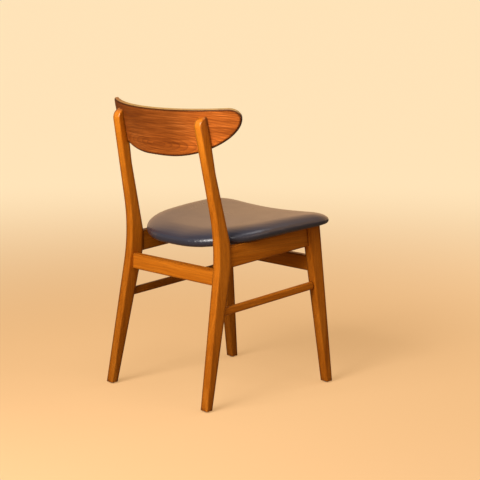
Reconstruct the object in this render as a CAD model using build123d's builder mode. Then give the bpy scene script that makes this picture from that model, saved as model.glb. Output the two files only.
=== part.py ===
from build123d import *
import math
import os

# Dining chair with bent rear legs, a curved plywood backrest and a dished upholstered seat.
# Axes: +Z is up, the sitter faces -Y and +X is the sitter's left.
# The origin is on the floor, under the middle of the chair. Sizes are in millimetres and degrees.

# Legs
foot_span = 461.8                 # toe of a front foot to heel of a rear foot, on the floor
foot_lead = 4.55                  # middle of the feet ahead of the middle of the chair, as the back overhangs
leg_thickness = 26.5
leg_edge_radius = 4.0
foot_allowance = 12.0             # waste below the floor line, taken off by the level foot cut

# Rear legs, which run on upwards as the stiles of the back
rear_foot_gap = 360.5             # between the inner faces of the two rear feet, on the floor
rear_splay_angle = 2.5            # sideways lean of a rear leg
rear_foot_depth = 20.5
rear_leg_rake_angle = 9.1         # slope of the back edge below the knee
stile_rake_angle = 10.9           # slope of the back edge above the knee
stile_front_rake_angle = 8.6      # slope of the front edge behind the backrest
knee_height = 418.0               # where the two straight back edges would meet
knee_radius = 500.0
knee_depth = 33.2                 # from that meeting point forward to the rail shoulder
shoulder_height = 57.0            # upright face that the side rail butts against
shoulder_radius = 60.0
stile_narrow_height = 605.0       # above this the stile no longer tapers
stile_narrow_depth = 25.5
stile_narrow_radius = 150.0
stile_top = 752.0
stile_top_fall = 12.0             # from the front of the top down to its back
stile_back_round = 24.0
stile_front_round = 5.0

# Front legs
front_foot_gap = 355.4            # between the inner faces of the two front feet, on the floor
front_splay_angle = 1.9
front_foot_depth = 21.4
front_leg_rake_angle = 5.3        # slope of the front edge
front_leg_back_rake_angle = 8.4   # slope of the back edge
front_leg_allowance = 40.0        # waste above the seat line, taken off to fit the seat

# Rails
side_rail_thickness = 18.0
side_rail_setback = 4.7           # outer face of the rail inside the outer face of the legs
side_rail_rear_bottom = 359.0
side_rail_front_bottom = 382.5
rail_edge_radius = 3.0
rail_allowance = 20.0             # waste past each shoulder, taken off to fit the legs
rear_rail_thickness = 20.0
rear_rail_height = 41.5
rear_rail_bottom = 314.0
rear_rail_setback = 10.2          # back face of the rail ahead of the back of the legs
front_rail_thickness = 20.0
front_rail_height = 41.0
front_rail_bottom = 311.0
front_rail_setback = 10.4         # back face of the rail ahead of the back of the legs

# Stretchers, with stub tenons on both ends
stretcher_thickness = 14.0
stretcher_height = 21.0
stretcher_edge_radius = 5.0
stretcher_rear_height = 247.6     # height of the axis at the rear leg
stretcher_front_height = 274.1    # height of the axis at the front leg
tenon_thickness = 8.0
tenon_height = 13.0
tenon_length = 15.0
tenon_clearance = 0.1

# Dowels, two in each rail joint
dowel_diameter = 8.0
dowel_length = 30.0
dowel_clearance = 0.1
side_rail_dowel_pitch = 24.0
cross_rail_dowel_pitch = 20.0

# Glides
glide_diameter = 15.0
glide_height = 4.0
glide_tread_diameter = 9.0
glide_rim = 1.5
glide_nail_diameter = 2.0
glide_nail_length = 14.0
glide_nail_clearance = 0.05

# Backrest, a curved plywood panel
back_width = 502.4
back_lean_angle = 12.0
back_radius = 424.3               # of the rear face, seen along the panel
back_thickness = 12.0
veneer_thickness = 0.8
back_side_height = 733.5          # level of the widest points, on the middle of the rear face
back_drop = 96.4                  # from the widest points down to the lower edge
back_lower_width = 212.8          # curved part of the lower edge, on each side of a level middle
back_rise = 25.2                  # from the widest points up to the shoulders
back_shoulder_width = 30.0
back_shoulder_sweep_angle = 86.6  # how far a shoulder turns before it runs into the arched top edge
back_edge_radius = 4.5
back_let_in = 2.25                # depth of the notch for the backrest at the outer face of a stile
back_bedding = 0.1                # glue line between the backrest and the stiles

# Backrest screws and the plugs over them
back_screw_spread = 304.0         # across the two stiles
back_screw_upper = 13.0           # below the widest points, along the panel
back_screw_pitch = 40.0
back_screw_diameter = 4.0
back_screw_head_diameter = 8.0
back_screw_head_height = 2.6
back_screw_length = 22.0
plug_diameter = 9.0
plug_depth = 4.5
plug_clearance = 0.05
screw_clearance = 0.1
screw_head_bevel = 1.2

# Seat
seat_pitch_angle = 4.0            # rise towards the front
seat_underside_height = 410.9     # lowest line of the underside, at the middle of the chair
seat_overhang = 28.2              # ahead of the front legs
seat_depth = 389.0
seat_front_width = 456.5
seat_rear_width = 386.0
seat_front_corner_radius = 54.0
seat_rear_corner_radius = 171.0
seat_dish_radius = 1300.0         # of the underside, from side to side
seat_hollow_radius = 2370.0       # of the top, from side to side
seat_crown_radius = 2285.0        # of the top, from front to back
seat_centre_thickness = 41.3
seat_top_round = 15.0
seat_bottom_round = 9.0
seat_board_thickness = 9.0
seat_board_inset = 10.0           # foam that wraps round the edge of the board
cover_thickness = 1.2
cover_return = 22.0               # width of cover turned in under the board
seat_bedding = 0.1                # between the underside of the seat and the frame

# Seat screws, up through the side rails
seat_screw_inset = 145.0          # from the front and the rear edge of the seat
seat_screw_diameter = 4.5
seat_screw_head_diameter = 8.5
seat_screw_head_height = 3.0
seat_screw_grip = 24.0            # wood of the rail left above the head
seat_screw_bite = 7.0             # length of screw in the seat board
counterbore_diameter = 11.0

os.makedirs("parts", exist_ok=True)


def slope(angle):
    """Run for each millimetre along the other way."""
    return math.tan(math.radians(angle))


def save(part, name):
    """Label a finished piece and write it to its own file."""
    part.label = name
    export_step(part, f"parts/{name}.step")


# Side view of the legs: places along Y at a height along the leg
heel_y = foot_span / 2 - foot_lead
toe_y = heel_y - foot_span
rear_toe_y = heel_y - rear_foot_depth
front_heel_y = toe_y + front_foot_depth
knee_y = heel_y - slope(rear_leg_rake_angle) * knee_height
shoulder_y = knee_y - knee_depth
shoulder_bottom = knee_height - shoulder_height
rear_front_slope = (rear_toe_y - shoulder_y) / shoulder_bottom


def rear_leg_back(height):
    """Back edge of the rear leg, below the knee."""
    return heel_y - slope(rear_leg_rake_angle) * height


def rear_leg_front(height):
    """Front edge of the rear leg, below the rail shoulder."""
    return rear_toe_y - rear_front_slope * height


def stile_back(height):
    """Back edge of the stile."""
    return knee_y + slope(stile_rake_angle) * (height - knee_height)


def stile_front(height):
    """Front edge of the stile, behind the backrest."""
    narrow_y = stile_back(stile_narrow_height) - stile_narrow_depth
    return narrow_y + slope(stile_front_rake_angle) * (height - stile_narrow_height)


def front_leg_front(height):
    """Front edge of the front leg."""
    return toe_y + slope(front_leg_rake_angle) * height


def front_leg_back(height):
    """Back edge of the front leg."""
    return front_heel_y + slope(front_leg_back_rake_angle) * height


def leg_plane(foot_gap, splay):
    """Inner face of a left leg: local x to the back, local y up the leg, local z outwards."""
    lean = math.radians(splay)
    outwards = (math.cos(lean), 0, math.sin(lean))
    return Plane(origin=(foot_gap / 2, 0, 0), x_dir=(0, 1, 0), z_dir=outwards)


def edge_plane(leg, place, height, rise, facing):
    """Plane on the front or back edge of a leg: local x outwards, local z off the leg."""
    uphill = leg.x_dir * rise + leg.y_dir
    return Plane(
        origin=leg.from_local_coords((place, height)),
        x_dir=leg.z_dir,
        z_dir=uphill.cross(leg.z_dir) * facing,
    )


backwards = 1
forwards = -1
rear_leg_plane = leg_plane(rear_foot_gap, rear_splay_angle)
front_leg_plane = leg_plane(front_foot_gap, front_splay_angle)

# Seat: the underside is a shallow trough that slopes up to the front
seat_tilt = math.radians(seat_pitch_angle)
seat_plane = Plane(
    origin=(0, 0, seat_underside_height),
    x_dir=(1, 0, 0),
    z_dir=(0, math.sin(seat_tilt), math.cos(seat_tilt)),
)
seat_section = Plane(origin=seat_plane.origin, x_dir=(1, 0, 0), z_dir=-seat_plane.y_dir)
seat_front_y = front_leg_front(seat_underside_height) - seat_overhang
seat_rear_y = seat_front_y + seat_depth
seat_reach = max(seat_front_width, seat_rear_width)


def dish_height(across, rise=0.0):
    """Height of the trough at a distance from its middle, or of a layer parallel to it."""
    return seat_dish_radius - math.sqrt((seat_dish_radius - rise) ** 2 - across**2)


def dished_slab(low, high):
    """Slab that follows the trough, between two heights above the underside."""
    half = seat_reach / 2
    low_end = dish_height(half, low)
    high_end = dish_height(half, high)
    with BuildPart() as slab:
        with BuildSketch(seat_section):
            with BuildLine():
                lower = ThreePointArc((-half, low_end), (0, low), (half, low_end))
                upper = ThreePointArc((-half, high_end), (0, high), (half, high_end))
                Line(lower @ 0, upper @ 0)
                Line(lower @ 1, upper @ 1)
            make_face()
        extrude(amount=seat_reach, both=True)
    return slab.part


def crowned_block(inset):
    """Block whose top is hollow from side to side and crowned from front to back."""
    half = seat_reach / 2
    top = seat_crown_radius - inset
    floor = seat_crown_radius - seat_reach
    hollow = seat_hollow_radius + inset
    top_end = top + hollow - math.sqrt(hollow**2 - half**2)
    middle = (seat_front_y + seat_rear_y) / 2
    pivot = seat_plane.from_local_coords((0, middle, seat_centre_thickness - seat_crown_radius))
    with BuildPart() as block:
        with BuildSketch(Plane(origin=pivot, x_dir=(1, 0, 0), z_dir=seat_plane.z_dir)):
            with BuildLine():
                hollow_top = ThreePointArc((-half, top_end), (0, top), (half, top_end))
                Polyline(hollow_top @ 1, (half, floor), (-half, floor), hollow_top @ 0)
            make_face()
        revolve(axis=Axis(pivot, (1, 0, 0)), revolution_arc=180)
    return block.part


def seat_outline(inset):
    """Plan of the seat, drawn in all round by an inset."""
    front = seat_front_width / 2
    rear = seat_rear_width / 2
    corners = ((-front, seat_front_y), (front, seat_front_y), (rear, seat_rear_y), (-rear, seat_rear_y))
    radii = (seat_front_corner_radius,) * 2 + (seat_rear_corner_radius,) * 2
    with BuildSketch(seat_plane) as outline:
        with BuildLine():
            FilletPolyline(*corners, radius=radii, close=True)
        make_face()
        if inset:
            offset(amount=-inset)
    return outline.sketch


def padded_form(inset):
    """Outer form of the upholstered seat, drawn in all over by an inset."""
    with BuildPart() as form:
        extrude(seat_outline(inset), amount=seat_reach)
        add(dished_slab(inset, seat_reach), mode=Mode.INTERSECT)
        add(crowned_block(inset), mode=Mode.INTERSECT)
        top = form.faces().filter_by(GeomType.TORUS).sort_by(SortBy.AREA)[-1]
        fillet(top.edges(), seat_top_round - inset)
        underside = form.faces().filter_by(GeomType.CYLINDER).sort_by(SortBy.AREA)[-1]
        fillet(underside.edges(), seat_bottom_round - inset)
    return form.part


def rail_top(place):
    """Height of the underside of the seat above the middle of a side rail."""
    return seat_underside_height + dish_height(side_rail_centre_x) - slope(seat_pitch_angle) * place


def seat_screw_planes(side):
    """Places on the underside of the seat where the screws of one side rail enter, facing down."""
    across = side * side_rail_centre_x
    places = (seat_front_y + seat_screw_inset, seat_rear_y - seat_screw_inset)
    origins = [seat_plane.from_local_coords((across, place, dish_height(across))) for place in places]
    return [Plane(origin=origin, x_dir=(1, 0, 0), z_dir=-seat_plane.z_dir) for origin in origins]


# Backrest: a panel bent about an axis that leans back with it
back_tilt = math.radians(back_lean_angle)
back_facing = (0, -math.cos(back_tilt), math.sin(back_tilt))


def back_sag(across, depth=0.0):
    """How far the panel has curved forward at a distance from its middle, at a depth in it."""
    return back_radius - math.sqrt((back_radius - depth) ** 2 - across**2)


stile_outer_x = rear_leg_plane.from_local_coords((0, back_side_height, leg_thickness)).X
stile_sag = back_sag(stile_outer_x)
stile_contact_height = back_side_height + stile_sag * math.sin(back_tilt)
back_y = stile_front(stile_contact_height) + stile_sag * math.cos(back_tilt) + back_let_in
back_plane = Plane(origin=(0, back_y, back_side_height), x_dir=(1, 0, 0), z_dir=back_facing)
back_section = Plane(origin=back_plane.origin, x_dir=(1, 0, 0), z_dir=back_plane.y_dir)


def back_layer(rear, front):
    """Curved layer between two depths, measured from the rear face of the panel."""
    with BuildPart() as layer:
        with BuildSketch(back_section):
            with Locations((0, -back_radius)):
                Circle(back_radius - rear)
                Circle(back_radius - front, mode=Mode.SUBTRACT)
                Rectangle(
                    back_width + back_thickness,
                    back_radius + back_thickness,
                    align=(Align.CENTER, Align.MIN),
                    mode=Mode.INTERSECT,
                )
        extrude(amount=back_width, both=True)
    return layer.part


def back_outline(grow):
    """Front view of the panel: a bowed lower edge, two rounded shoulders and an arched top edge."""
    half = back_width / 2 + grow
    lower = (back_lower_width + grow, back_drop + grow)
    shoulder = (back_shoulder_width + grow, back_rise + grow)
    lower_x = half - lower[0]
    shoulder_x = half - shoulder[0]
    sweep = back_shoulder_sweep_angle
    with BuildSketch(back_plane) as outline:
        with BuildLine():
            lower_right = EllipticalCenterArc((-lower_x, 0), *lower, start_angle=180, arc_size=90)
            lower_left = EllipticalCenterArc((lower_x, 0), *lower, start_angle=270, arc_size=90)
            Line(lower_right @ 1, lower_left @ 0)
            left = EllipticalCenterArc((shoulder_x, 0), *shoulder, start_angle=0, arc_size=sweep)
            right = EllipticalCenterArc((-shoulder_x, 0), *shoulder, start_angle=180 - sweep, arc_size=sweep)
            TangentArc(left @ 1, right @ 0, tangent=left % 1)
        make_face()
    return outline.sketch


def back_form(grow):
    """The whole panel with edges square to its faces, larger by a clearance except on the front face."""
    with BuildPart() as blank:
        extrude(back_outline(grow), amount=back_width, both=True)
        add(back_layer(-grow, back_thickness), mode=Mode.INTERSECT)
    rear_face = blank.faces().filter_by(GeomType.CYLINDER).sort_by(Axis.Y)[-1]
    with BuildPart() as form:
        thicken(rear_face, amount=-back_thickness - grow)
    return form.part


def back_screw_planes(side):
    """Places on the front face of the panel over one stile, square to the face there."""
    across = side * back_screw_spread / 2
    face_radius = back_radius - back_thickness
    inwards = back_plane.x_dir * -across + back_plane.z_dir * math.sqrt(face_radius**2 - across**2)
    places = (-back_screw_upper, -back_screw_upper - back_screw_pitch)
    depth = back_sag(across, back_thickness)
    origins = [back_plane.from_local_coords((across, place, depth)) for place in places]
    return [Plane(origin=origin, x_dir=back_plane.y_dir, z_dir=inwards) for origin in origins]


# Joints of the frame on the left side, which the right side mirrors
side_rail_outer_x = (
    rear_leg_plane.from_local_coords((0, seat_underside_height, leg_thickness)).X - side_rail_setback
)
side_rail_centre_x = side_rail_outer_x - side_rail_thickness / 2
side_rail_front_y = front_leg_back(side_rail_front_bottom)
side_rail_rear_middle = (side_rail_rear_bottom + rail_top(shoulder_y)) / 2
side_rail_front_middle = (side_rail_front_bottom + rail_top(side_rail_front_y)) / 2
side_rail_rear_face = edge_plane(rear_leg_plane, shoulder_y, side_rail_rear_middle, 0, forwards)
side_rail_front_face = edge_plane(
    front_leg_plane,
    front_leg_back(side_rail_front_middle),
    side_rail_front_middle,
    slope(front_leg_back_rake_angle),
    backwards,
)
rear_rail_middle = rear_rail_bottom + rear_rail_height / 2
rear_rail_y = rear_leg_back(rear_rail_middle) - rear_rail_setback - rear_rail_thickness / 2
front_rail_middle = front_rail_bottom + front_rail_height / 2
front_rail_y = front_leg_back(front_rail_middle) - front_rail_setback - front_rail_thickness / 2
stretcher_rear_face = edge_plane(
    rear_leg_plane,
    rear_leg_front(stretcher_rear_height),
    stretcher_rear_height,
    -rear_front_slope,
    forwards,
)
stretcher_front_face = edge_plane(
    front_leg_plane,
    front_leg_back(stretcher_front_height),
    stretcher_front_height,
    slope(front_leg_back_rake_angle),
    backwards,
)
stretcher_rear = stretcher_rear_face.from_local_coords((leg_thickness / 2, 0))
stretcher_front = stretcher_front_face.from_local_coords((leg_thickness / 2, 0))
stretcher_run = stretcher_front - stretcher_rear
stretcher_plane = Plane(
    origin=(stretcher_rear + stretcher_front) / 2, x_dir=(1, 0, 0), z_dir=stretcher_run
)


def dowel_planes(face, across, middle, pitch):
    """Places of the two dowels of a joint on its face."""
    heights = (middle - pitch / 2, middle + pitch / 2)
    origins = [face.from_local_coords((across, height)) for height in heights]
    return [Plane(origin=origin, x_dir=face.x_dir, z_dir=face.z_dir) for origin in origins]


def rail_centre_on(face):
    """Place of the middle of the side rail on a joint face, from the inner face of the leg."""
    return face.to_local_coords(Vector(side_rail_centre_x, face.origin.Y, face.origin.Z)).X


side_rail_rear_dowels = dowel_planes(
    side_rail_rear_face, rail_centre_on(side_rail_rear_face), 0, side_rail_dowel_pitch
)
side_rail_front_dowels = dowel_planes(
    side_rail_front_face, rail_centre_on(side_rail_front_face), 0, side_rail_dowel_pitch
)
rear_rail_dowels = dowel_planes(rear_leg_plane, rear_rail_y, rear_rail_middle, cross_rail_dowel_pitch)
front_rail_dowels = dowel_planes(front_leg_plane, front_rail_y, front_rail_middle, cross_rail_dowel_pitch)


def dowel_holes(planes):
    """Bore the dowel holes of a joint into the piece being built."""
    with Locations(*planes):
        Hole(radius=dowel_diameter / 2 + dowel_clearance, depth=dowel_length / 2 + dowel_clearance)


def tenon_bar(clearance):
    """Bar through both tenons of a stretcher, larger by a clearance for the mortises."""
    with BuildPart() as bar:
        with BuildSketch(stretcher_plane):
            SlotOverall(tenon_height + 2 * clearance, tenon_thickness + 2 * clearance, rotation=90)
        extrude(amount=stretcher_run.length / 2 + tenon_length + clearance, both=True)
    return bar.part


def foot_place(leg, middle_y):
    """Middle of the level foot cut of a left leg."""
    middle = leg.from_local_coords((middle_y, glide_height, leg_thickness / 2))
    return Vector(middle.X, middle.Y, glide_height)


rear_foot = foot_place(rear_leg_plane, (rear_leg_back(glide_height) + rear_leg_front(glide_height)) / 2)
front_foot = foot_place(
    front_leg_plane, (front_leg_front(glide_height) + front_leg_back(glide_height)) / 2
)


def nail_hole(foot):
    """Bore the hole for the nail of a glide into the leg being built."""
    with Locations(foot):
        Hole(
            radius=glide_nail_diameter / 2 + glide_nail_clearance,
            depth=glide_nail_length + glide_nail_clearance,
        )


# Legs and rails of the left side
with BuildPart() as rear_leg:
    with BuildSketch(rear_leg_plane):
        with BuildLine():
            stile_top_back = stile_top - stile_top_fall
            FilletPolyline(
                (rear_leg_back(-foot_allowance), -foot_allowance),
                (knee_y, knee_height),
                (stile_back(stile_top_back), stile_top_back),
                (stile_front(stile_top), stile_top),
                (stile_front(stile_narrow_height), stile_narrow_height),
                (shoulder_y, knee_height),
                (shoulder_y, shoulder_bottom),
                (rear_leg_front(-foot_allowance), -foot_allowance),
                radius=(
                    0,
                    knee_radius,
                    stile_back_round,
                    stile_front_round,
                    stile_narrow_radius,
                    shoulder_radius,
                    shoulder_radius,
                    0,
                ),
                close=True,
            )
        make_face()
    extrude(amount=leg_thickness)
    fillet(rear_leg.faces().filter_by(rear_leg_plane).edges(), leg_edge_radius)
    split(bisect_by=Plane.XY.offset(glide_height), keep=Keep.TOP)
    add(back_form(back_bedding), mode=Mode.SUBTRACT)
    add(tenon_bar(tenon_clearance), mode=Mode.SUBTRACT)
    dowel_holes(side_rail_rear_dowels + rear_rail_dowels)
    nail_hole(rear_foot)
    with Locations(*back_screw_planes(1)):
        Hole(
            radius=back_screw_diameter / 2 + screw_clearance,
            depth=plug_depth + back_screw_head_height + back_screw_length + screw_clearance,
        )

with BuildPart() as front_leg:
    with BuildSketch(front_leg_plane):
        with BuildLine():
            waste_top = seat_underside_height + front_leg_allowance
            Polyline(
                (front_leg_front(-foot_allowance), -foot_allowance),
                (front_leg_back(-foot_allowance), -foot_allowance),
                (front_leg_back(waste_top), waste_top),
                (front_leg_front(waste_top), waste_top),
                close=True,
            )
        make_face()
    extrude(amount=leg_thickness)
    long_edges = front_leg.edges().sort_by(SortBy.LENGTH)[-4:]
    fillet(long_edges, leg_edge_radius)
    split(bisect_by=Plane.XY.offset(glide_height), keep=Keep.TOP)
    add(dished_slab(-seat_bedding, seat_reach), mode=Mode.SUBTRACT)
    add(tenon_bar(tenon_clearance), mode=Mode.SUBTRACT)
    dowel_holes(side_rail_front_dowels + front_rail_dowels)
    nail_hole(front_foot)

with BuildPart() as side_rail:
    with BuildSketch(Plane.YZ.offset(side_rail_outer_x)):
        with BuildLine():
            rise = (side_rail_front_bottom - side_rail_rear_bottom) / (shoulder_y - side_rail_front_y)
            waste_rear = shoulder_y + rail_allowance
            waste_front = side_rail_front_y - rail_allowance
            waste_top = rail_top(waste_front) + rail_allowance
            Polyline(
                (waste_rear, side_rail_rear_bottom - rise * rail_allowance),
                (waste_front, side_rail_front_bottom + rise * rail_allowance),
                (waste_front, waste_top),
                (waste_rear, waste_top),
                close=True,
            )
        make_face()
    extrude(amount=-side_rail_thickness)
    add(dished_slab(-seat_bedding, seat_reach), mode=Mode.SUBTRACT)
    long_edges = side_rail.edges().sort_by(SortBy.LENGTH)[-4:]
    fillet(long_edges, rail_edge_radius)
    split(bisect_by=side_rail_rear_face, keep=Keep.TOP)
    split(bisect_by=side_rail_front_face, keep=Keep.TOP)
    dowel_holes(side_rail_rear_dowels + side_rail_front_dowels)
    with Locations(*seat_screw_planes(1)):
        Hole(radius=seat_screw_diameter / 2 + screw_clearance)
    with Locations(*[plane.offset(seat_screw_grip) for plane in seat_screw_planes(1)]):
        Cylinder(
            counterbore_diameter / 2,
            rail_top(0),
            align=(Align.CENTER, Align.CENTER, Align.MIN),
            mode=Mode.SUBTRACT,
        )

with BuildPart() as side_stretcher:
    with BuildSketch(stretcher_plane):
        RectangleRounded(stretcher_thickness, stretcher_height, stretcher_edge_radius)
    extrude(amount=stretcher_run.length / 2 + stretcher_height, both=True)
    split(bisect_by=stretcher_rear_face, keep=Keep.TOP)
    split(bisect_by=stretcher_front_face, keep=Keep.TOP)
    add(tenon_bar(0))

for name, left in (
    ("rear_leg", rear_leg),
    ("front_leg", front_leg),
    ("side_rail", side_rail),
    ("side_stretcher", side_stretcher),
):
    with BuildPart() as right:
        mirror(left.part, about=Plane.YZ)
    save(left.part, f"{name}_left")
    save(right.part, f"{name}_right")


# Cross rails, each drawn as its left half and mirrored
def cross_rail(leg, middle_y, bottom, thickness, height, dowels):
    """Rail between the inner faces of two legs."""
    with BuildPart() as rail:
        with BuildSketch(Plane.YZ):
            with Locations((middle_y, bottom + height / 2)):
                Rectangle(thickness, height)
        extrude(amount=leg.origin.X)
        fillet(rail.edges().filter_by(Axis.X), rail_edge_radius)
        split(bisect_by=leg, keep=Keep.BOTTOM)
        dowel_holes(dowels)
        mirror(about=Plane.YZ)
    return rail.part


rear_rail = cross_rail(
    rear_leg_plane, rear_rail_y, rear_rail_bottom, rear_rail_thickness, rear_rail_height, rear_rail_dowels
)
front_rail = cross_rail(
    front_leg_plane,
    front_rail_y,
    front_rail_bottom,
    front_rail_thickness,
    front_rail_height,
    front_rail_dowels,
)
save(rear_rail, "rear_rail")
save(front_rail, "front_rail")

for name, planes in (
    ("side_rail_dowels", side_rail_rear_dowels + side_rail_front_dowels),
    ("rear_rail_dowels", rear_rail_dowels),
    ("front_rail_dowels", front_rail_dowels),
):
    with BuildPart() as dowels:
        with Locations(*planes):
            Cylinder(dowel_diameter / 2, dowel_length)
        mirror(about=Plane.YZ)
    save(dowels.part, name)

# Glides, nailed into the feet
with BuildPart() as glide:
    with BuildSketch(Plane.XZ):
        with BuildLine():
            nail_tip = glide_nail_length - glide_nail_diameter
            tread = Line((0, -glide_height), (glide_tread_diameter / 2, -glide_height))
            dome = TangentArc(tread @ 1, (glide_diameter / 2, -glide_rim), tangent=(1, 0))
            Polyline(
                dome @ 1,
                (glide_diameter / 2, 0),
                (glide_nail_diameter / 2, 0),
                (glide_nail_diameter / 2, nail_tip),
                (0, glide_nail_length),
                tread @ 0,
            )
        make_face()
    revolve(axis=Axis.Z)

for name, foot in (("rear_leg_glides", rear_foot), ("front_leg_glides", front_foot)):
    with BuildPart() as glides:
        with Locations(foot, (-foot.X, foot.Y, foot.Z)):
            add(glide.part)
    save(glides.part, name)


# Screws, with the underside of the head at the local origin and the shank pointing down
def pan_head_screw(diameter, head_diameter, head_height, length):
    """Screw with a bevelled pan head and a pointed tip."""
    with BuildPart() as screw:
        with BuildSketch(Plane.XZ):
            with BuildLine():
                Polyline(
                    (0, head_height),
                    (head_diameter / 2 - screw_head_bevel, head_height),
                    (head_diameter / 2, head_height - screw_head_bevel),
                    (head_diameter / 2, 0),
                    (diameter / 2, 0),
                    (diameter / 2, diameter - length),
                    (0, -length),
                    close=True,
                )
            make_face()
        revolve(axis=Axis.Z)
    return screw.part


# Backrest: a plywood core between two face veneers, with its edges rounded as one panel
with BuildPart() as back_panel:
    add(back_form(0))
    curved_faces = back_panel.faces().filter_by(GeomType.CYLINDER).sort_by(SortBy.AREA)[-2:]
    fillet(curved_faces.edges(), back_edge_radius)
    with Locations(*back_screw_planes(1), *back_screw_planes(-1)):
        CounterBoreHole(
            radius=back_screw_diameter / 2 + screw_clearance,
            counter_bore_radius=plug_diameter / 2 + plug_clearance,
            counter_bore_depth=plug_depth + back_screw_head_height,
        )

for name, rear, front in (
    ("backrest_rear_veneer", 0, veneer_thickness),
    ("backrest_core", veneer_thickness, back_thickness - veneer_thickness),
    ("backrest_front_veneer", back_thickness - veneer_thickness, back_thickness),
):
    with BuildPart() as layer:
        add(back_panel.part)
        add(back_layer(rear, front), mode=Mode.INTERSECT)
    save(layer.part, name)

back_screw = pan_head_screw(
    back_screw_diameter, back_screw_head_diameter, back_screw_head_height, back_screw_length
)
with BuildPart() as backrest_screws:
    head_depth = plug_depth + back_screw_head_height
    with Locations(*[plane.offset(-head_depth) for side in (1, -1) for plane in back_screw_planes(side)]):
        add(back_screw)
save(backrest_screws.part, "backrest_screws")

with BuildPart() as backrest_plugs:
    with Locations(*back_screw_planes(1), *back_screw_planes(-1)):
        Cylinder(plug_diameter / 2, 2 * plug_depth)
    add(back_form(0), mode=Mode.INTERSECT)
save(backrest_plugs.part, "backrest_plugs")

# Seat: a moulded board with a foam pad over its edge, in a cover that is turned in under the board
seat_core = padded_form(cover_thickness)
board_top = cover_thickness + seat_board_thickness
all_seat_screws = seat_screw_planes(1) + seat_screw_planes(-1)


def seat_screw_holes():
    """Bore the holes of the seat screws into the piece being built."""
    with Locations(*all_seat_screws):
        Hole(
            radius=seat_screw_diameter / 2 + screw_clearance,
            depth=cover_thickness + seat_screw_bite + screw_clearance,
        )


with BuildPart() as board_blank:
    extrude(seat_outline(cover_thickness + seat_board_inset), amount=seat_reach)
    add(dished_slab(cover_thickness, board_top), mode=Mode.INTERSECT)

with BuildPart() as seat_board:
    add(board_blank.part)
    seat_screw_holes()
save(seat_board.part, "seat_board")

with BuildPart() as seat_foam:
    add(seat_core)
    add(board_blank.part, mode=Mode.SUBTRACT)
save(seat_foam.part, "seat_foam")

with BuildPart() as seat_lining:
    extrude(seat_outline(cover_return), amount=seat_reach)
    add(dished_slab(0, cover_thickness), mode=Mode.INTERSECT)
    seat_screw_holes()
save(seat_lining.part, "seat_lining")

with BuildPart() as seat_cover:
    add(padded_form(0))
    add(seat_core, mode=Mode.SUBTRACT)
    add(seat_lining.part, mode=Mode.SUBTRACT)
    seat_screw_holes()
save(seat_cover.part, "seat_cover")

seat_screw_length = seat_screw_grip + cover_thickness + seat_screw_bite
seat_screw = pan_head_screw(
    seat_screw_diameter, seat_screw_head_diameter, seat_screw_head_height, seat_screw_length
)
with BuildPart() as seat_screws:
    with Locations(*[plane.offset(seat_screw_grip) for plane in all_seat_screws]):
        add(seat_screw)
save(seat_screws.part, "seat_screws")
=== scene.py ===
import math

import bpy
import numpy as np
from mathutils import Matrix, Vector


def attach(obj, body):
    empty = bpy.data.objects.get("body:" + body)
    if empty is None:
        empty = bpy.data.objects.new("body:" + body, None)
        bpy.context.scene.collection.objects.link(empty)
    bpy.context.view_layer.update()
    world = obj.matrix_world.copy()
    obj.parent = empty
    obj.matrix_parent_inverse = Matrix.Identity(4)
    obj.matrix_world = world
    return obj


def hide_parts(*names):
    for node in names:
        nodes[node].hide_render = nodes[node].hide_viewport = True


# Looks of the dining chair. Everything is in metres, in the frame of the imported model:
# +Z up, the sitter faces -Y, +X is the sitter's left.

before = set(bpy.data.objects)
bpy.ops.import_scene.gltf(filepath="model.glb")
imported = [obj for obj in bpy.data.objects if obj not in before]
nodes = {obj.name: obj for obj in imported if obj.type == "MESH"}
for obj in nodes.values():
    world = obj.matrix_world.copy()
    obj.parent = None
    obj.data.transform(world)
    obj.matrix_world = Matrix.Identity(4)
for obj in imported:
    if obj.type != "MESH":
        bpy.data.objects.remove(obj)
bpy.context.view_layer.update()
scene = bpy.context.scene

# Seat, with the plan and the tilt of the CAD seat
SEAT_PITCH = math.radians(4.0)
SEAT_UNDERSIDE = 0.4109
SEAT_FRONT = -0.22553
SEAT_DEPTH = 0.389
SEAT_MIDDLE = np.array([0.0, SEAT_FRONT + SEAT_DEPTH / 2])
SEAT_FRONT_WIDTH = 0.4565
SEAT_REAR_WIDTH = 0.386
SEAT_FRONT_CORNER = 0.054
SEAT_REAR_CORNER = 0.171
OUTLINE_ARC_STEPS = 18
OUTLINE_STEP = 0.012

# Radii of the seat: underside and top from side to side, then the top from front to back
SEAT_DISH = 1.300
SEAT_HOLLOW = 2.370
SEAT_CROWN = 2.285
SEAT_CROWN_Y = -0.021

# Padding, a little thicker and rounder than the solids it replaces; its roll is wider at the rear
SEAT_THICKNESS = 0.0456
SEAT_TOP_ROUND = 0.0219
SEAT_BOTTOM_ROUND = 0.0120
ROLL_SIDE_REACH = 0.048
ROLL_REAR_REACH = 0.072
ROLL_SIDE_Y = -0.05
ROLL_REAR_Y = 0.12

# Mesh of the padding: it starts larger, because remeshing and smoothing draw it in
PAD_GROW = 0.0040
PAD_CENTRE_SHARE = 0.06
PAD_INNER_SHARE = 0.55
PAD_INNER_RINGS = 8
PAD_OUTER_RINGS = 24
PAD_VOXEL = 0.005

# Filling of the padding
PAD_HELD_HEIGHT = 0.006
PAD_SWELL = 0.0010
SIM_FRAMES = 20
EVEN_PASSES = 40
SMALLEST_MOVE = 1e-9

# Lining under the seat, inside the leather that is turned in
COVER_RETURN = 0.022
LINING_LIFT = -0.0006
LINING_CENTRE_SHARE = 0.04
LINING_RINGS = 16

# Backrest, with the sizes of the CAD panel
BACK_RADIUS = 0.4243
BACK_LEAN = math.radians(12.0)
BACK_Y = 0.2296
BACK_HEIGHT = 0.7335


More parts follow.
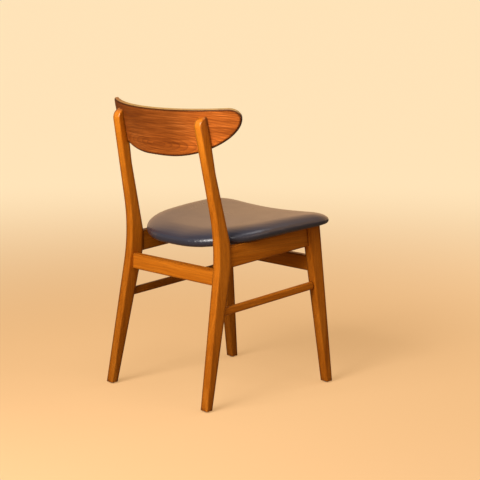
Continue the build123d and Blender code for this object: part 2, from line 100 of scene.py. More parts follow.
def mesh_object(name, vertices, faces, smooth=True):
    """New object from points and faces."""
    mesh = bpy.data.meshes.new(name)
    mesh.from_pydata([tuple(v) for v in vertices], [], faces)
    mesh.update()
    if smooth:
        mesh.polygons.foreach_set("use_smooth", [True] * len(mesh.polygons))
    thing = bpy.data.objects.new(name, mesh)
    scene.collection.objects.link(thing)
    return thing


def apply_modifiers(thing):
    """Replace the mesh of an object by what its modifiers make of it."""
    graph = bpy.context.evaluated_depsgraph_get()
    result = bpy.data.meshes.new_from_object(thing.evaluated_get(graph))
    thing.modifiers.clear()
    thing.data = result
    thing.data.polygons.foreach_set("use_smooth", [True] * len(result.polygons))


def points_of(mesh):
    """Points of a mesh as an array."""
    flat = np.empty(len(mesh.vertices) * 3)
    mesh.vertices.foreach_get("co", flat)
    return flat.reshape(-1, 3)


def rgb(red, green, blue):
    """Opaque colour."""
    return (red, green, blue, 1.0)


# Sockets of a mix node that mixes colours
MIX_SHARE = 0
MIX_FIRST = 6
MIX_SECOND = 7
MIX_RESULT = 2

BEVEL_SAMPLES = 6


class NodeTree:
    """Shader nodes of a material or the world, with short ways to add them."""

    def __init__(self, tree):
        self.tree = tree

    def feed(self, socket, value):
        """Link an output to an input, or set the input to a value."""
        if isinstance(value, bpy.types.NodeSocket):
            self.tree.links.new(value, socket)
        else:
            socket.default_value = value

    def node(self, kind, inputs=(), **settings):
        """Add a node; an input is a value or another node's output socket."""
        made = self.tree.nodes.new(kind)
        for key, value in settings.items():
            setattr(made, key, value)
        for key, value in dict(inputs).items():
            self.feed(made.inputs[key], value)
        return made

    def math(self, operation, *values):
        """Sum, product or the like of values."""
        return self.node("ShaderNodeMath", enumerate(values), operation=operation).outputs[0]

    def times(self, first, second):
        """Product of two values."""
        return self.math("MULTIPLY", first, second)

    def weighted(self, first, second):
        """Sum of two products, each given as a pair of factors."""
        return self.math("ADD", self.times(*first), self.times(*second))

    def hypotenuse(self, first, second):
        """Length of a vector from two components at right angles."""
        return self.math("SQRT", self.weighted((first, first), (second, second)))

    def parts(self, vector):
        """The three components of a vector."""
        return self.node("ShaderNodeSeparateXYZ", {0: vector}).outputs

    def dot(self, first, second):
        """Dot product of two vectors."""
        made = self.node("ShaderNodeVectorMath", {0: first, 1: second}, operation="DOT_PRODUCT")
        return made.outputs["Value"]

    def spread(self, value, span, onto=(0.0, 1.0), curve="LINEAR"):
        """Value brought from one span onto another, and held at its ends."""
        inputs = enumerate((value, *span, *onto))
        return self.node("ShaderNodeMapRange", inputs, interpolation_type=curve).outputs[0]

    def mix(self, share, first, second, blend="MIX"):
        """Two colours, mixed by a share."""
        inputs = {MIX_SHARE: share, MIX_FIRST: first, MIX_SECOND: second}
        made = self.node("ShaderNodeMix", inputs, data_type="RGBA", blend_type=blend)
        return made.outputs[MIX_RESULT]

    def dim(self, colour, share):
        """Colour times a value."""
        grey = self.node("ShaderNodeCombineColor", {0: share, 1: share, 2: share}).outputs[0]
        return self.mix(1.0, colour, grey, "MULTIPLY")

    def ramp(self, value, *stops):
        """Colour by a value, between stops that each have a place and a colour."""
        made = self.node("ShaderNodeValToRGB", {0: value})
        elements = made.color_ramp.elements
        while len(elements) < len(stops):
            elements.new(0.5)
        for element, (place, colour) in zip(elements, stops):
            element.position = place
            element.color = colour
        return made.outputs[0]


class Look(NodeTree):
    """Material with a Principled BSDF."""

    def __init__(self, name):
        self.material = bpy.data.materials.new(name)
        self.material.use_nodes = True
        super().__init__(self.material.node_tree)
        self.surface = self.tree.nodes["Principled BSDF"]

    def set(self, **values):
        """Feed the surface; an underscore stands for a space in a socket's name."""
        for key, value in values.items():
            self.feed(self.surface.inputs[key.replace("_", " ")], value)

    def bump(self, height, strength, distance):
        """Relief of the surface."""
        made = self.node("ShaderNodeBump", {"Strength": strength, "Distance": distance, "Height": height})
        self.set(Normal=made.outputs[0])

    def place(self, scale=(1, 1, 1), shift=(0, 0, 0)):
        """Position on the object, stretched by a scale and then shifted."""
        at = self.node("ShaderNodeTexCoord").outputs["Object"]
        return self.node("ShaderNodeMapping", {"Vector": at, "Location": shift, "Scale": scale}).outputs[0]

    def noise(self, vector, detail, roughness, distortion=0.0, scale=1.0):
        """Smooth noise over a position."""
        inputs = {
            "Vector": vector,
            "Scale": scale,
            "Detail": detail,
            "Roughness": roughness,
            "Distortion": distortion,
        }
        return self.node("ShaderNodeTexNoise", inputs).outputs[0]

    def normal(self):
        """Direction that the surface faces."""
        return self.node("ShaderNodeNewGeometry").outputs["Normal"]

    def rounded(self, radius):
        """Direction that the surface would face if its edges were rounded."""
        return self.node("ShaderNodeBevel", {"Radius": radius}, samples=BEVEL_SAMPLES).outputs[0]


# Lacquer of the frame and the backrest
LACQUER_COAT = 0.10
LACQUER_TINT = rgb(1.0, 0.62, 0.30)

# Stained beech of the frame; its dark edges are painted shade, and their width goes by the axis that the
# grain follows
BEECH_TONES = (
    (0.34, rgb(0.38, 0.092, 0.004)),
    (0.46, rgb(0.49, 0.130, 0.006)),
    (0.56, rgb(0.56, 0.158, 0.009)),
    (0.68, rgb(0.64, 0.195, 0.014)),
)
BEECH_FLECK = rgb(0.20, 0.050, 0.006)
BEECH_PAINTED_LIGHT = rgb(0.93, 0.30, 0.022)
BEECH_EDGE_SHADE = rgb(0.06, 0.014, 0.002)
BEECH_EDGE_SHADE_RADII = {"X": 0.007, "Y": 0.007, "Z": 0.015}
BEECH_EDGE_SHADE_SPAN = (0.993, 0.93)
BEECH_EDGE_SHADE_SHARES = (0.0, 0.92)

# Legs: painted light, paler, on the back of the stiles, glossy at their tops, painted shade, darker,
# towards the floor and the left, with painted shade on the edges only where they turn to the back left or
# the front right
LEG_SHADE_EDGE_TURN = (-0.05, 0.05)
PAINTED_LIGHT_FACING = (0.55, 0.95)
PAINTED_LIGHT_HEIGHTS = (0.58, 0.72)
PAINTED_LIGHT_SHARE = 0.42
GLOSSY_HEIGHTS = (0.68, 0.74)
GLOSSY_COAT = 0.70
PAINTED_SHADE_LEFTWARDS = 0.8
PAINTED_SHADE_SPAN = (-0.10, 0.50)
PAINTED_SHADE_TONES = (0.70, 1.0)

# Side rails and stretchers: painted shade, darker on the left
SHADED_RAIL_SPAN = (0.0, 0.15)
SHADED_RAIL_TONES = (1.0, 0.55)


def along(axis, across, length):
    """Scale of a grain that runs along an axis."""
    return tuple(length if name == axis else across for name in "XYZ")


def level_grain(length, height):
    """Scale of a grain that runs level round a bent panel."""
    return (length, length, height)


def frame_wood(name, axis):
    """Stained beech with a satin lacquer; fine straight grain along an axis, painted shade along the edges.
    """
    wood = Look(name)
    broad_at = wood.place(along(axis, across=26, length=2.2))
    streaks_at = wood.place(along(axis, across=170, length=5.0), shift=(3.1, 1.7, 0.4))
    fine_at = wood.place(along(axis, across=900, length=14.0))
    flecks_at = wood.place(along(axis, across=1100, length=110.0), shift=(0.7, 4.2, 2.9))
    broad = wood.noise(broad_at, detail=3.0, roughness=0.55, distortion=0.6)
    streaks = wood.noise(streaks_at, detail=5.0, roughness=0.6, distortion=0.4)
    fine = wood.noise(fine_at, detail=3.0, roughness=0.6)
    flecks = wood.noise(flecks_at, detail=1.0, roughness=0.4)
    colour = wood.ramp(wood.weighted((broad, 0.5), (streaks, 0.5)), *BEECH_TONES)
    colour = wood.dim(colour, wood.spread(fine, span=(0.42, 0.62), onto=(0.80, 1.04)))
    colour = wood.mix(wood.spread(flecks, span=(0.62, 0.72), onto=(0.0, 0.45)), colour, BEECH_FLECK)

    facing = wood.normal()
    rounded = wood.rounded(BEECH_EDGE_SHADE_RADII[axis])
    # Painted shade: the colour is darkened along the rounded edges
    edge_shade = wood.spread(wood.dot(facing, rounded), BEECH_EDGE_SHADE_SPAN, BEECH_EDGE_SHADE_SHARES)
    coat = LACQUER_COAT
    x, _, level = wood.parts(wood.place())
    if axis == "Y":
        # Painted shade, darker towards the left
        colour = wood.dim(colour, wood.spread(x, SHADED_RAIL_SPAN, SHADED_RAIL_TONES))
    if axis == "Z":
        # Painted light: the stiles are paler high up, on the faces that turn to the back
        backwards = wood.spread(wood.parts(facing)[1], PAINTED_LIGHT_FACING)
        wear_and_painted_light = wood.times(wood.spread(level, PAINTED_LIGHT_HEIGHTS), backwards)
        colour = wood.mix(wood.times(wear_and_painted_light, PAINTED_LIGHT_SHARE), colour, BEECH_PAINTED_LIGHT)
        # Painted shade: the legs are darker towards the floor and the left
        painted_shade_level = wood.math("SUBTRACT", level, wood.times(x, PAINTED_SHADE_LEFTWARDS))
        colour = wood.dim(colour, wood.spread(painted_shade_level, PAINTED_SHADE_SPAN, PAINTED_SHADE_TONES))
        # Painted shade on the legs only on the edges that turn to the back left or the front right
        turned_x, turned_y, _ = wood.parts(rounded)
        edge_shade = wood.times(edge_shade, wood.spread(wood.times(turned_x, turned_y), LEG_SHADE_EDGE_TURN))
        coat = wood.spread(level, GLOSSY_HEIGHTS, (LACQUER_COAT, GLOSSY_COAT))
    wood.set(Base_Color=wood.mix(edge_shade, colour, BEECH_EDGE_SHADE))
    wood.set(Roughness=wood.spread(streaks, span=(0.3, 0.7), onto=(0.38, 0.52)))
    wood.set(Coat_Weight=coat, Coat_Roughness=0.12)
    wood.set(Specular_IOR_Level=0.08, Specular_Tint=LACQUER_TINT)
    wood.bump(wood.weighted((fine, 0.6), (flecks, -0.4)), strength=0.18, distance=0.0004)
    return wood.material


def from_bend_axis(look):
    """Distances from the axis that the backrest is bent about: sideways, and backwards off it."""
    x, back, rise = look.parts(look.place(shift=(0, -BACK_Y, -BACK_HEIGHT)))
    leaning = look.math(
        "SUBTRACT", look.times(back, math.cos(BACK_LEAN)), look.times(rise, math.sin(BACK_LEAN))
    )
    return x, look.math("ADD", leaning, BACK_RADIUS)


def panel_radius(look):
    """Distance from the axis that the backrest is bent about."""
    x, out = from_bend_axis(look)
    return look.hypotenuse(out, x)


def panel_outwards(look):
    """Direction away from the axis that the backrest is bent about."""
    x, out = from_bend_axis(look)
    ray = {0: x, 1: look.times(out, math.cos(BACK_LEAN)), 2: look.times(out, -math.sin(BACK_LEAN))}
    away = look.node("ShaderNodeCombineXYZ", ray).outputs[0]
    return look.node("ShaderNodeVectorMath", {0: away}, operation="NORMALIZE").outputs["Vector"]


# Teak veneer of the backrest
TEAK_TONES = (
    (0.34, rgb(0.215, 0.045, 0.005)),
    (0.46, rgb(0.330, 0.077, 0.009)),
    (0.56, rgb(0.410, 0.103, 0.014)),
    (0.70, rgb(0.540, 0.156, 0.030)),
)
TEAK_LATE_WOOD = rgb(0.150, 0.030, 0.007)
TEAK_PORE = rgb(0.110, 0.022, 0.006)
# Dark stain and painted shade along the rounded edges of the veneer
TEAK_EDGE_STAIN_AND_SHADE = rgb(0.040, 0.010, 0.003)
TEAK_EDGE_RADIUS = 0.006
TEAK_EDGE_SPAN = (0.86, 0.985)
TEAK_EDGE_SHARES = (0.92, 0.0)

# Oval figure of the veneer: its centre before the grain wanders, its height to length and its rings
FIGURE_X = -0.012
FIGURE_Z = 0.677
FIGURE_SLENDERNESS = 0.22
FIGURE_RINGS_PER_METRE = 185.0
LATE_WOOD_SHARPNESS = 2.6
GRAIN_WANDER = 0.010
GRAIN_RIPPLE = 0.002

# Tones of the veneer, painted light and shade: lighter on the right, darker on the left, lighter along the
# lower edge
PAINTED_LIGHT_RIGHT_SPAN = (-0.05, -0.19)
PAINTED_LIGHT_RIGHT_TONES = (0.67, 1.36)
PAINTED_SHADE_LEFT_SPAN = (0.02, 0.23)
PAINTED_SHADE_LEFT_TONES = (1.0, 0.78)
PAINTED_LIGHT_LOW_SPAN = (0.67, 0.72)
PAINTED_LIGHT_LOW_TONES = (1.35, 1.0)


def teak_veneer():
    """Teak veneer with level grain, dark growth lines and an oval figure low on the panel."""
    teak = Look("teak_veneer")
    x, _, z = teak.parts(teak.place())
    wander_at = teak.place(level_grain(length=5.0, height=26.0))
    ripple_at = teak.place(level_grain(length=16.0, height=90.0), shift=(2.0, 0.3, 1.0))
    patches_at = teak.place(level_grain(length=7.0, height=40.0), shift=(0.2, 0.0, 3.3))
    streaks_at = teak.place(level_grain(length=9.0, height=330.0), shift=(1.3, 0.0, 0.0))
    pores_at = teak.place(level_grain(length=70.0, height=1500.0))
    wander = teak.noise(wander_at, detail=3.0, roughness=0.5)
    ripple = teak.noise(ripple_at, detail=2.0, roughness=0.5)
    patches = teak.noise(patches_at, detail=3.0, roughness=0.55)
    streaks = teak.noise(streaks_at, detail=5.0, roughness=0.62, distortion=0.3)
    pores = teak.noise(pores_at, detail=2.0, roughness=0.5)

    lift = teak.weighted((wander, GRAIN_WANDER), (ripple, GRAIN_RIPPLE))
    rise = teak.math("ADD", teak.math("SUBTRACT", z, FIGURE_Z), lift)
    run = teak.times(teak.math("SUBTRACT", x, FIGURE_X), FIGURE_SLENDERNESS)
    growth = teak.math("FRACT", teak.times(teak.hypotenuse(rise, run), FIGURE_RINGS_PER_METRE))
    late = teak.math("POWER", growth, LATE_WOOD_SHARPNESS)

    colour = teak.ramp(teak.weighted((patches, 0.45), (streaks, 0.55)), *TEAK_TONES)
    # Painted light and shade over the panel: lighter on the right and along the lower edge, darker on the
    # left
    painted_light_right = teak.spread(x, PAINTED_LIGHT_RIGHT_SPAN, PAINTED_LIGHT_RIGHT_TONES, "SMOOTHSTEP")
    painted_shade_left = teak.spread(x, PAINTED_SHADE_LEFT_SPAN, PAINTED_SHADE_LEFT_TONES)
    low = teak.spread(z, PAINTED_LIGHT_LOW_SPAN, PAINTED_LIGHT_LOW_TONES)
    colour = teak.dim(colour, teak.times(painted_light_right, teak.times(painted_shade_left, low)))
    colour = teak.dim(colour, teak.spread(streaks, span=(0.40, 0.60), onto=(0.80, 1.10)))
    depth = teak.times(late, teak.spread(patches, span=(0.35, 0.65), onto=(0.66, 0.42)))
    colour = teak.mix(depth, colour, TEAK_LATE_WOOD)
    colour = teak.mix(teak.spread(pores, span=(0.60, 0.72), onto=(0.0, 0.40)), colour, TEAK_PORE)
    # Dark stain and painted shade on the rounded edges
    square = teak.dot(teak.rounded(TEAK_EDGE_RADIUS), panel_outwards(teak))
    edge_shade = teak.spread(teak.math("ABSOLUTE", square), TEAK_EDGE_SPAN, TEAK_EDGE_SHARES)
    teak.set(Base_Color=teak.mix(edge_shade, colour, TEAK_EDGE_STAIN_AND_SHADE))
    teak.set(Roughness=teak.spread(streaks, span=(0.3, 0.7), onto=(0.40, 0.54)))
    teak.set(Coat_Weight=LACQUER_COAT, Coat_Roughness=0.18)
    teak.set(Specular_IOR_Level=0.10, Specular_Tint=LACQUER_TINT)
    teak.bump(teak.weighted((streaks, 1.0), (pores, -0.6)), strength=0.15, distance=0.0004)
    return teak.material


# Plywood edge of the backrest, with two tones of plies
PLY_THICKNESS = 0.0030
PLY_PALE = (rgb(0.48, 0.29, 0.085), rgb(0.34, 0.17, 0.043))
PLY_SHADE = (rgb(0.050, 0.016, 0.006), rgb(0.030, 0.010, 0.004))
PLY_LEFT_END = rgb(0.34, 0.13, 0.028)
PLY_LEFT_SPAN = (0.08, 0.20)
PLY_TOP_FACING = (0.25, 0.62)


def plywood():
    """Edge of the moulded panel: thin plies, pale along the top and darker on the sides and below, where
    the dark is painted shade.
    """
    ply = Look("plywood")
    band = ply.math("FRACT", ply.times(panel_radius(ply), 1 / PLY_THICKNESS))
    layer = ply.spread(ply.math("ABSOLUTE", ply.math("SUBTRACT", band, 0.5)), span=(0.20, 0.28))
    grain = ply.noise(ply.place(level_grain(length=120, height=400)), detail=4.0, roughness=0.6)
    leftwards = ply.spread(ply.parts(ply.place())[0], PLY_LEFT_SPAN)
    pale = ply.mix(leftwards, ply.mix(layer, *PLY_PALE), PLY_LEFT_END)
    # Painted shade: the plies are dark where the edge faces sideways or down, pale where it faces up
    upwards = ply.spread(ply.parts(ply.normal())[2], PLY_TOP_FACING)
    colour = ply.mix(upwards, ply.mix(layer, *PLY_SHADE), pale)
    ply.set(Base_Color=ply.dim(colour, ply.spread(grain, span=(0.35, 0.7), onto=(0.82, 1.08))))
    ply.set(Roughness=ply.spread(grain, span=(0.3, 0.7), onto=(0.42, 0.56)))
    ply.bump(grain, strength=0.12, distance=0.0004)
    return ply.material


BARE_BEECH_TONES = ((0.3, rgb(0.40, 0.24, 0.11)), (0.7, rgb(0.62, 0.43, 0.24)))


def bare_wood():
    """Unstained beech of the dowels and the seat board."""
    wood = Look("bare_wood")
    grain = wood.noise(wood.place(along("Y", across=240, length=18)), detail=4.0, roughness=0.6)
    wood.set(Base_Color=wood.ramp(grain, *BARE_BEECH_TONES))
    wood.set(Roughness=wood.spread(grain, span=(0.3, 0.7), onto=(0.5, 0.65)))
    wood.bump(grain, strength=0.15, distance=0.0004)
    return wood.material


LEATHER_TONES = ((0.35, rgb(0.026, 0.025, 0.036)), (0.70, rgb(0.034, 0.032, 0.044)))
PEBBLES_PER_METRE = 620.0


def seat_leather():
    """Smooth black leather with a fine pebble, a soft unevenness and a satin finish."""
    hide = Look("seat_leather")
    pebbles = {"Vector": hide.place(), "Scale": PEBBLES_PER_METRE, "Randomness": 1.0}
    cells = hide.node("ShaderNodeTexVoronoi", pebbles, feature="DISTANCE_TO_EDGE")
    pebble = hide.spread(cells.outputs["Distance"], span=(0.0, 0.16))
    soft = hide.noise(hide.place(), detail=4.0, roughness=0.55, scale=24.0)
    wear_and_painted_light = hide.noise(hide.place(shift=(1.0, 2.0, 0.0)), detail=3.0, roughness=0.5, scale=7.0)
    hide.set(Base_Color=hide.ramp(wear_and_painted_light, *LEATHER_TONES))
    hide.set(Roughness=hide.spread(hide.math("ADD", soft, wear_and_painted_light), span=(0.7, 1.3), onto=(0.27, 0.34)))
    hide.set(IOR=1.5, Coat_Weight=0.54, Coat_Roughness=0.31)
    hide.bump(hide.weighted((pebble, 0.5), (soft, 0.5)), strength=0.06, distance=0.0005)
    return hide.material


LINING_TONES = ((0.1, rgb(0.008, 0.008, 0.009)), (0.9, rgb(0.034, 0.033, 0.034)))
LINING_WEAVE_SCALE = 210.0


def lining_cloth():
    """Black woven cloth under the seat."""
    cloth = Look("lining_cloth")
    weave = []
    for axis in "XY":
        waves = {"Vector": cloth.place(), "Scale": LINING_WEAVE_SCALE, "Distortion": 0.6}
        weave.append(cloth.node("ShaderNodeTexWave", waves, bands_direction=axis).outputs[1])
    threads = cloth.times(*weave)
    cloth.set(Base_Color=cloth.ramp(threads, *LINING_TONES))
    cloth.set(Roughness=0.85)
    cloth.bump(threads, strength=0.4, distance=0.0006)
    return cloth.material


GLIDE_PLATING = rgb(0.90, 0.87, 0.82)
SCREW_PLATING = rgb(0.56, 0.55, 0.54)
STEEL_SCUFF = rgb(0.34, 0.32, 0.30)


def plated_steel(name, colour, metal):
    """Plated steel with small scuffs; a worn plating is less of a mirror."""
    steel = Look(name)
    scuffs = steel.noise(steel.place(along("Z", across=400, length=90)), detail=4.0, roughness=0.6)
    dull = steel.spread(scuffs, span=(0.4, 0.7), onto=(0.0, 0.5))
    steel.set(Base_Color=steel.mix(dull, colour, STEEL_SCUFF))
    steel.set(Metallic=metal)
    steel.set(Roughness=steel.spread(scuffs, span=(0.3, 0.7), onto=(0.22, 0.42)))
    steel.bump(scuffs, strength=0.08, distance=0.0003)
    return steel.material


def dress(material, *names):
    """Give a material to CAD nodes."""
    for name in names:
        slots = nodes[name].data.materials
        slots.clear()
        slots.append(material)


LEGS = ("rear_leg_left", "rear_leg_right", "front_leg_left", "front_leg_right")
SIDES = ("side_rail_left", "side_rail_right", "side_stretcher_left", "side_stretcher_right")
dress(frame_wood("frame_wood_upright", "Z"), *LEGS)
dress(frame_wood("frame_wood_lengthways", "Y"), *SIDES)
dress(frame_wood("frame_wood_crossways", "X"), "front_rail", "rear_rail")
dress(teak_veneer(), "backrest_rear_veneer", "backrest_front_veneer", "backrest_plugs")
dress(plywood(), "backrest_core")
dress(bare_wood(), "seat_board", "side_rail_dowels", "front_rail_dowels", "rear_rail_dowels")
dress(plated_steel("glide_steel", GLIDE_PLATING, metal=0.35), "front_leg_glides", "rear_leg_glides")
dress(plated_steel("screw_steel", SCREW_PLATING, metal=1.0), "backrest_screws", "seat_screws")


# Upholstered seat
def seat_outline(inset):
    """Plan of the seat, counter-clockwise and drawn in by an inset: four corners joined by arcs."""
    front, rear = SEAT_FRONT_WIDTH / 2, SEAT_REAR_WIDTH / 2
    back = SEAT_FRONT + SEAT_DEPTH
    corners = [(-front, SEAT_FRONT), (front, SEAT_FRONT), (rear, back), (-rear, back)]
    radii = [SEAT_FRONT_CORNER, SEAT_FRONT_CORNER, SEAT_REAR_CORNER, SEAT_REAR_CORNER]
    points = []
    for index, radius in enumerate(radii):
        here = np.array(corners[index])
        to_last = np.array(corners[index - 1]) - here
        to_next = np.array(corners[(index + 1) % len(corners)]) - here
        to_last /= np.linalg.norm(to_last)
        to_next /= np.linalg.norm(to_next)
        half_angle = math.acos(to_last @ to_next) / 2
        inwards = (to_last + to_next) / np.linalg.norm(to_last + to_next)
        centre = here + inwards * radius / math.sin(half_angle)
        begin = math.atan2(*(here + to_last * radius / math.tan(half_angle) - centre)[::-1])
        sweep = math.pi - 2 * half_angle
        for step in range(OUTLINE_ARC_STEPS + 1):
            angle = begin + sweep * step / OUTLINE_ARC_STEPS
            points.append(centre + (radius - inset) * np.array([math.cos(angle), math.sin(angle)]))
    rounded = []
    for index, point in enumerate(points):
        run = points[(index + 1) % len(points)] - point
        count = max(1, int(np.linalg.norm(run) / OUTLINE_STEP))
        rounded += [point + run * step / count for step in range(count)]
    return np.array(rounded)


def bowl(radius, distance):
    """Height of a round trough at a distance from its lowest line."""
    return radius - np.sqrt(radius**2 - distance**2)


def underside(x):
    """Height of the underside above its lowest line."""
    return bowl(SEAT_DISH, x)


def topside(x, y):
    """Height of the top above the lowest line of the underside."""
    return SEAT_THICKNESS + bowl(SEAT_HOLLOW, x) - bowl(SEAT_CROWN, y - SEAT_CROWN_Y)


def round_over(distance, reach, fall):
    """Fall of an elliptic quarter round at a distance from the edge."""
    share = np.clip(distance / reach, 0, 1)
    return fall * (1 - np.sqrt(1 - (1 - share) ** 2))


def on_seat(plan, height):
    """Points over a plan of the seat, tilted with it."""
    tilt_cos, tilt_sin = math.cos(SEAT_PITCH), math.sin(SEAT_PITCH)
    y = plan[:, 1] * tilt_cos + height * tilt_sin
    z = SEAT_UNDERSIDE - plan[:, 1] * tilt_sin + height * tilt_cos
    return np.column_stack([plan[:, 0], y, z])


def rings_mesh(name, rings, close_ends):
    """Skin over rings that have the same number of points, with or without its two ends."""
    count = len(rings[0])
    faces = []
    for ring in range(len(rings) - 1):
        low, high = ring * count, (ring + 1) * count
        for index in range(count):
            after = (index + 1) % count
            faces.append((low + index, low + after, high + after, high + index))
    if close_ends:
        faces.append(tuple(reversed(range(count))))
        faces.append(tuple(range((len(rings) - 1) * count, len(rings) * count)))
    return mesh_object(name, np.concatenate(rings), faces)


def seat_pad():
    """Form of the upholstered seat, before it is filled; its rings are closer towards the edge."""
    outline = seat_outline(-PAD_GROW)
    reach = np.linalg.norm(outline - SEAT_MIDDLE, axis=1)
    inner = np.linspace(PAD_CENTRE_SHARE, PAD_INNER_SHARE, PAD_INNER_RINGS)
    outer = 1 - (1 - PAD_INNER_SHARE) * np.linspace(1, 0, PAD_OUTER_RINGS)[1:] ** 2
    top, bottom = [], []
    for share in np.concatenate([inner, outer]):
        plan = SEAT_MIDDLE + (outline - SEAT_MIDDLE) * share
        gap = (1 - share) * reach
        rolled = np.interp(plan[:, 1], (ROLL_SIDE_Y, ROLL_REAR_Y), (ROLL_SIDE_REACH, ROLL_REAR_REACH))
        high = topside(plan[:, 0], plan[:, 1]) - round_over(gap, rolled, SEAT_TOP_ROUND)
        low = underside(plan[:, 0]) + round_over(gap, SEAT_BOTTOM_ROUND, SEAT_BOTTOM_ROUND)
        middle = (high + low) / 2
        top.append(on_seat(plan, np.maximum(high, middle)))
        bottom.append(on_seat(plan, np.minimum(low, middle)))
    return rings_mesh("seat_pad", bottom + top[::-1], close_ends=True)


def evened(mesh, moves):
    """Moves of a mesh's points, each shared with its neighbours, which leaves no wrinkles."""
    ties = np.empty(len(mesh.edges) * 2, int)
    mesh.edges.foreach_get("vertices", ties)
    first, second = ties.reshape(-1, 2).T
    neighbours = np.bincount(ties, minlength=len(moves))[:, None]
    for _ in range(EVEN_PASSES):
        total = np.zeros_like(moves)
        np.add.at(total, first, moves[second])
        np.add.at(total, second, moves[first])
        moves = total / neighbours
    return moves


def inflate(pad):
    """Fill the pad by cloth pressure, held to its board along the underside."""
    start = points_of(pad.data)
    plan_y = start[:, 1] / math.cos(SEAT_PITCH)
    board = SEAT_UNDERSIDE - plan_y * math.sin(SEAT_PITCH) + underside(start[:, 0])
    held = pad.vertex_groups.new(name="held")
    for index in np.nonzero(start[:, 2] - board < PAD_HELD_HEIGHT)[0]:
        held.add([int(index)], 1.0, "REPLACE")
    settings = pad.modifiers.new("cloth", "CLOTH").settings
    settings.quality = 6
    settings.mass = 0.25
    settings.tension_stiffness = 18
    settings.compression_stiffness = 6
    settings.shear_stiffness = 6
    settings.bending_stiffness = 6
    settings.use_pressure = True
    settings.uniform_pressure_force = 4
    settings.vertex_group_mass = held.name
    settings.effector_weights.gravity = 0
    for number in range(1, SIM_FRAMES + 1):
        scene.frame_set(number)
    filled = pad.evaluated_get(bpy.context.evaluated_depsgraph_get())
    moves = points_of(filled.to_mesh()) - start
    filled.to_mesh_clear()
    pad.modifiers.clear()
    scene.frame_set(1)
    moves = evened(pad.data, moves)
    lengths = np.linalg.norm(moves, axis=1, keepdims=True)
    moves *= np.minimum(1, PAD_SWELL / np.maximum(lengths, SMALLEST_MOVE))
    pad.data.vertices.foreach_set("co", (start + moves).ravel())
    pad.data.update()


pad = seat_pad()
remesh = pad.modifiers.new("remesh", "REMESH")
remesh.mode = "VOXEL"
remesh.voxel_size = PAD_VOXEL
apply_modifiers(pad)
inflate(pad)
relax = pad.modifiers.new("relax", "SMOOTH")
relax.factor = 0.5
relax.iterations = 4
fine = pad.modifiers.new("fine", "SUBSURF")
fine.levels = 1
fine.render_levels = 1
apply_modifiers(pad)
pad.data.materials.append(seat_leather())
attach(pad, "root")
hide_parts("seat_cover", "seat_foam")

# Lining cloth under the seat
lining_plan = seat_outline(COVER_RETURN)
lining_rings = []
for share in np.linspace(LINING_CENTRE_SHARE, 1.0, LINING_RINGS):
    plan = SEAT_MIDDLE + (lining_plan - SEAT_MIDDLE) * share
    lining_rings.append(on_seat(plan, underside(plan[:, 0]) + LINING_LIFT))
lining = rings_mesh("seat_lining_cloth", lining_rings, close_ends=False)
lining.data.materials.append(lining_cloth())
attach(lining, "root")
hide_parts("seat_lining")

# Camera, at the viewing angle of the photograph
CAMERA_PLACE = Vector((-3.118762, 2.802753, 1.123177))
CAMERA_RIGHT = Vector((-0.678269, -0.734811, 0.002044))
CAMERA_UP = Vector((0.127244, -0.114712, 0.985216))
camera_data = bpy.data.cameras.new("camera")
camera_data.lens = 118.977
camera_data.sensor_width = 36.0
camera = bpy.data.objects.new("camera", camera_data)
scene.collection.objects.link(camera)
turn = Matrix((CAMERA_RIGHT, CAMERA_UP, CAMERA_RIGHT.cross(CAMERA_UP))).transposed()
camera.matrix_world = Matrix.Translation(CAMERA_PLACE) @ turn.to_4x4()
scene.camera = camera

# Floor, which runs on as the background; it fades with the distance from the chair
FLOOR_REACH = 80.0
FLOOR_FADE = (0.6, 4.2)
FLOOR_SEEN = (rgb(0.386, 0.257, 0.143), rgb(0.33, 0.25, 0.16))
FLOOR_GLOW = (rgb(0.62, 0.345, 0.14), rgb(1.0, 0.78, 0.49))
FLOOR_BOUNCE = rgb(0.34, 0.25, 0.15)
FLOOR_REFLECTED = rgb(0.15, 0.10, 0.065)
GLOW_SEEN = 0.87
GLOW_REFLECTED = 0.06


def floor_look():
    """Plain matt floor, with a glow for the camera and a faint one for reflections."""
    look = Look("floor")
    path = look.node("ShaderNodeLightPath").outputs
    camera_ray, glossy_ray = path["Is Camera Ray"], path["Is Glossy Ray"]
    away = look.node("ShaderNodeVectorMath", {0: look.place()}, operation="LENGTH").outputs["Value"]
    far = look.spread(away, FLOOR_FADE, curve="SMOOTHSTEP")
    unseen = look.mix(glossy_ray, FLOOR_BOUNCE, FLOOR_REFLECTED)
    look.set(Base_Color=look.mix(camera_ray, unseen, look.mix(far, *FLOOR_SEEN)))
    look.set(Roughness=0.9, Specular_IOR_Level=0.0)
    look.set(Emission_Color=look.mix(far, *FLOOR_GLOW))
    look.set(Emission_Strength=look.weighted((camera_ray, GLOW_SEEN), (glossy_ray, GLOW_REFLECTED)))
    return look.material


floor_corners = [(x * FLOOR_REACH, y * FLOOR_REACH, 0) for x, y in ((-1, -1), (1, -1), (1, 1), (-1, 1))]
floor = mesh_object("floor", floor_corners, [(0, 1, 2, 3)], smooth=False)
floor.data.materials.append(floor_look())


# Light
def add_lamp(name, kind, power, colour):
    """New lamp in the scene."""
    data = bpy.data.lights.new(name, kind)
    data.energy = power
    data.color = colour
    lamp = bpy.data.objects.new(name, data)
    scene.collection.objects.link(lamp)
    return lamp


def area_light(name, place, aim, size, power, colour):
    """Soft lamp that points at a place."""
    lamp = add_lamp(name, "AREA", power, colour)
    lamp.data.shape = "RECTANGLE"
    lamp.data.size, lamp.data.size_y = size
    lamp.location = place
    lamp.rotation_euler = (Vector(aim) - Vector(place)).to_track_quat("-Z", "Y").to_euler()
    return lamp


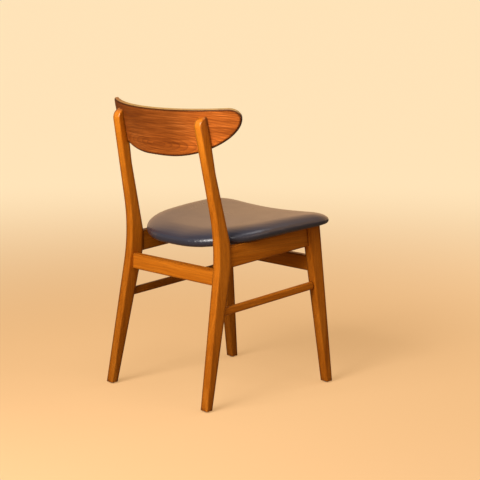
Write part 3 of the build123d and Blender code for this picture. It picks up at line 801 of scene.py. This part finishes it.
def sun_light(name, towards, power, spread, colour):
    """Distant lamp in a direction, with soft shadows."""
    lamp = add_lamp(name, "SUN", power, colour)
    lamp.data.angle = math.radians(spread)
    lamp.rotation_euler = Vector(towards).to_track_quat("Z", "Y").to_euler()
    return lamp


CENTRE = (0.0, 0.0, 0.42)
sun_light("key", towards=(-0.16, 0.92, 0.62), power=1.4, spread=20, colour=(1.0, 0.96, 0.90))
area_light(
    "high_key",
    place=(-0.35, 1.4, 1.3),
    aim=(-0.1, 0.2, 0.55),
    size=(1.3, 1.3),
    power=30,
    colour=(1.0, 0.95, 0.88),
)
area_light(
    "upper_fill",
    place=(-0.95, -0.25, 2.3),
    aim=CENTRE,
    size=(1.0, 1.0),
    power=8,
    colour=(1.0, 0.96, 0.95),
)
front_fill = area_light(
    "front_fill",
    place=(-0.6, -2.4, 1.2),
    aim=CENTRE,
    size=(1.5, 1.5),
    power=14,
    colour=(1.0, 0.96, 0.92),
)
front_fill.visible_glossy = False
area_light(
    "strip",
    place=(-2.2, -0.1, 0.5),
    aim=(-0.2, 0.05, 0.44),
    size=(1.3, 0.35),
    power=2,
    colour=(1.0, 0.93, 0.94),
)

# Room: one plain tone lights the chair; the camera and reflections see warm tones low down, grey ones above
ROOM_DIFFUSE = rgb(0.15, 0.135, 0.12)
ROOM_TONES = ((0.12, rgb(1.0, 0.58, 0.30)), (0.70, rgb(0.16, 0.17, 0.22)))
ROOM_CLIMB = (0.0, 0.8, 1.0)
world = bpy.data.worlds.new("room")
scene.world = world
world.use_nodes = True
room = NodeTree(world.node_tree)
climb = room.dot(room.node("ShaderNodeTexCoord").outputs["Generated"], ROOM_CLIMB)
ray_kinds = room.node("ShaderNodeLightPath").outputs
seen = room.math("MAXIMUM", ray_kinds["Is Camera Ray"], ray_kinds["Is Glossy Ray"])
background = room.tree.nodes["Background"]
room.feed(background.inputs["Color"], room.mix(seen, ROOM_DIFFUSE, room.ramp(climb, *ROOM_TONES)))
room.feed(background.inputs["Strength"], 1.0)

scene.view_settings.view_transform = "Standard"
